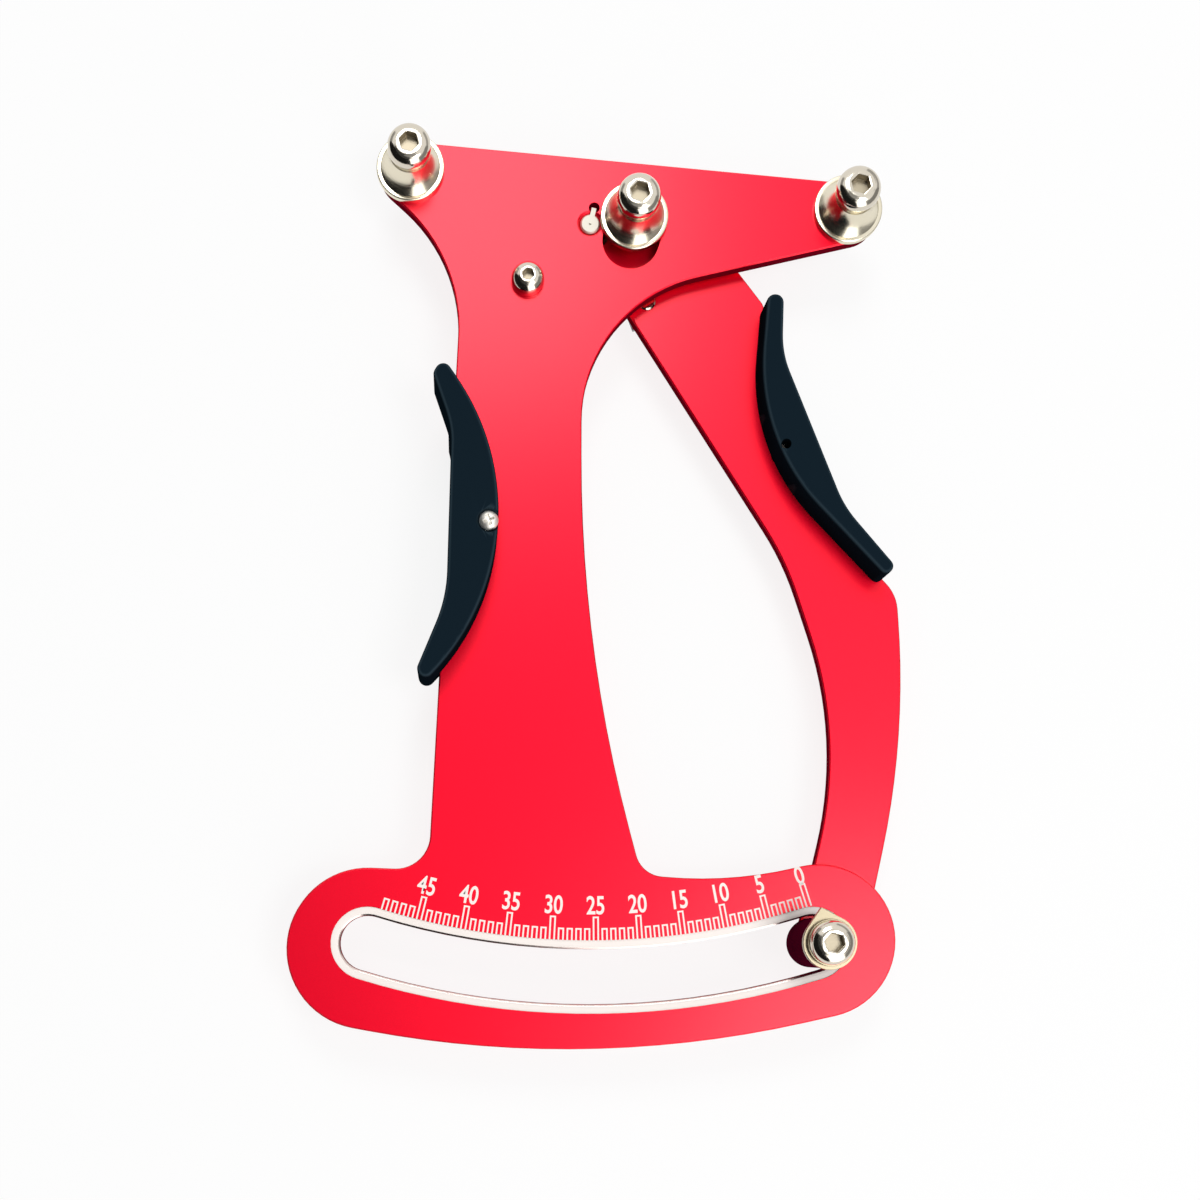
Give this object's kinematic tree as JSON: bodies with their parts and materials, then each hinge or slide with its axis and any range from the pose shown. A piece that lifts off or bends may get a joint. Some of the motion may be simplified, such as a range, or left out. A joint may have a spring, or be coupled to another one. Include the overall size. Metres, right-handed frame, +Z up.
{
  "type": "spoke tension meter",
  "caption": "Hand-held spoke tension meter: flat plate with posts, crescent grips and an arc scale slot, and a sprung lever that carries the middle post and the pointer.",
  "frame": {"origin": "on the surface the tool lies on, under the centre of its bounding box; the lever's pivot stands at x -1.4357 mm, y 86.0896 mm, and the frame plate's front face is 15.3 mm up", "axes": "+Z up from the surface, the way the posts point; +Y along the tool from the scale to the posts; +X to the user's right, towards the lever"},
  "size_m": [0.1446, 0.2132, 0.0328],
  "materials": {
    "red_anodised": "satin anodised red",
    "grip_plastic": "moulded, satin blue-black",
    "turned_steel": "turned, nickel plated",
    "plated_steel": "polished",
    "washer_steel": "pressed, nickel plated",
    "dark_spacer": "dark oxide",
    "spring_wire": "drawn wire",
    "bush_brass": "turned"
  },
  "bodies": {
    "frame": {"frame_plate": "red_anodised", "left_post_sleeve": "turned_steel", "left_post_screw": "plated_steel", "left_post_nut": "plated_steel", "right_post_sleeve": "turned_steel", "right_post_screw": "plated_steel", "right_post_nut": "plated_steel", "pivot_pin": "plated_steel", "pivot_washer": "plated_steel", "spring_bush": "bush_brass", "pivot_end_washer": "plated_steel", "pivot_retaining_ring": "plated_steel", "torsion_spring": "spring_wire", "anchor_screw": "plated_steel", "anchor_standoff": "dark_spacer", "left_grip": "grip_plastic", "left_grip_screw": "plated_steel"},
    "lever": {"lever_plate": "red_anodised", "middle_post_sleeve": "turned_steel", "middle_post_screw": "plated_steel", "middle_post_nut": "plated_steel", "spring_pin": "plated_steel", "pointer_spacer": "dark_spacer", "pointer_washer": "washer_steel", "pointer_lock_washer": "washer_steel", "pointer_screw": "plated_steel", "pointer_nut": "plated_steel", "right_grip": "grip_plastic", "right_grip_screw": "plated_steel"}
  },
  "joints": [
    {"name": "lever_pivot", "type": "hinge", "parent": "frame", "child": "lever", "pos_m": [-0.00144, 0.08609, 0.0098], "axis": [0, 0, -1], "range_deg": [0, 34.6], "stiffness_Nm_per_rad": 0.4, "springref_deg": -20.05, "deforming": ["torsion_spring"]}
  ]
}
